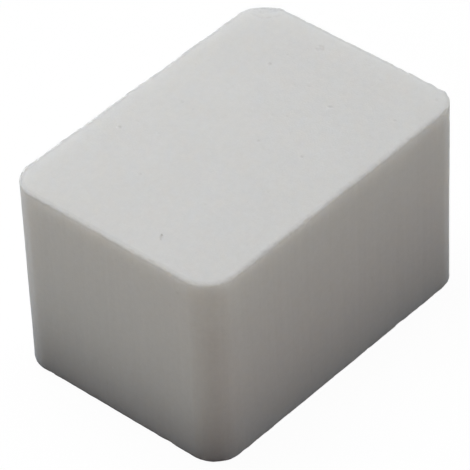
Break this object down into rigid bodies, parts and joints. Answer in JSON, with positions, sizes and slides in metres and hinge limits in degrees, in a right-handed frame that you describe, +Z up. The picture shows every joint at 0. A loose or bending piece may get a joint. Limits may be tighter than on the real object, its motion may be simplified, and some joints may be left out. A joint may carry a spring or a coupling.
{
  "type": "gymnastics chalk block",
  "caption": "Pressed white magnesium carbonate chalk block for gymnasts' hands: a rectangular cake with rounded upright corners and eased edges.",
  "frame": {"origin": "middle of the flat base", "axes": "+X along the length, +Y along the width, +Z up out of the top face"},
  "size_m": [0.07, 0.0492, 0.0434],
  "materials": {
    "chalk": "matte"
  },
  "bodies": {
    "root": {"chalk_block": "chalk"}
  },
  "joints": []
}
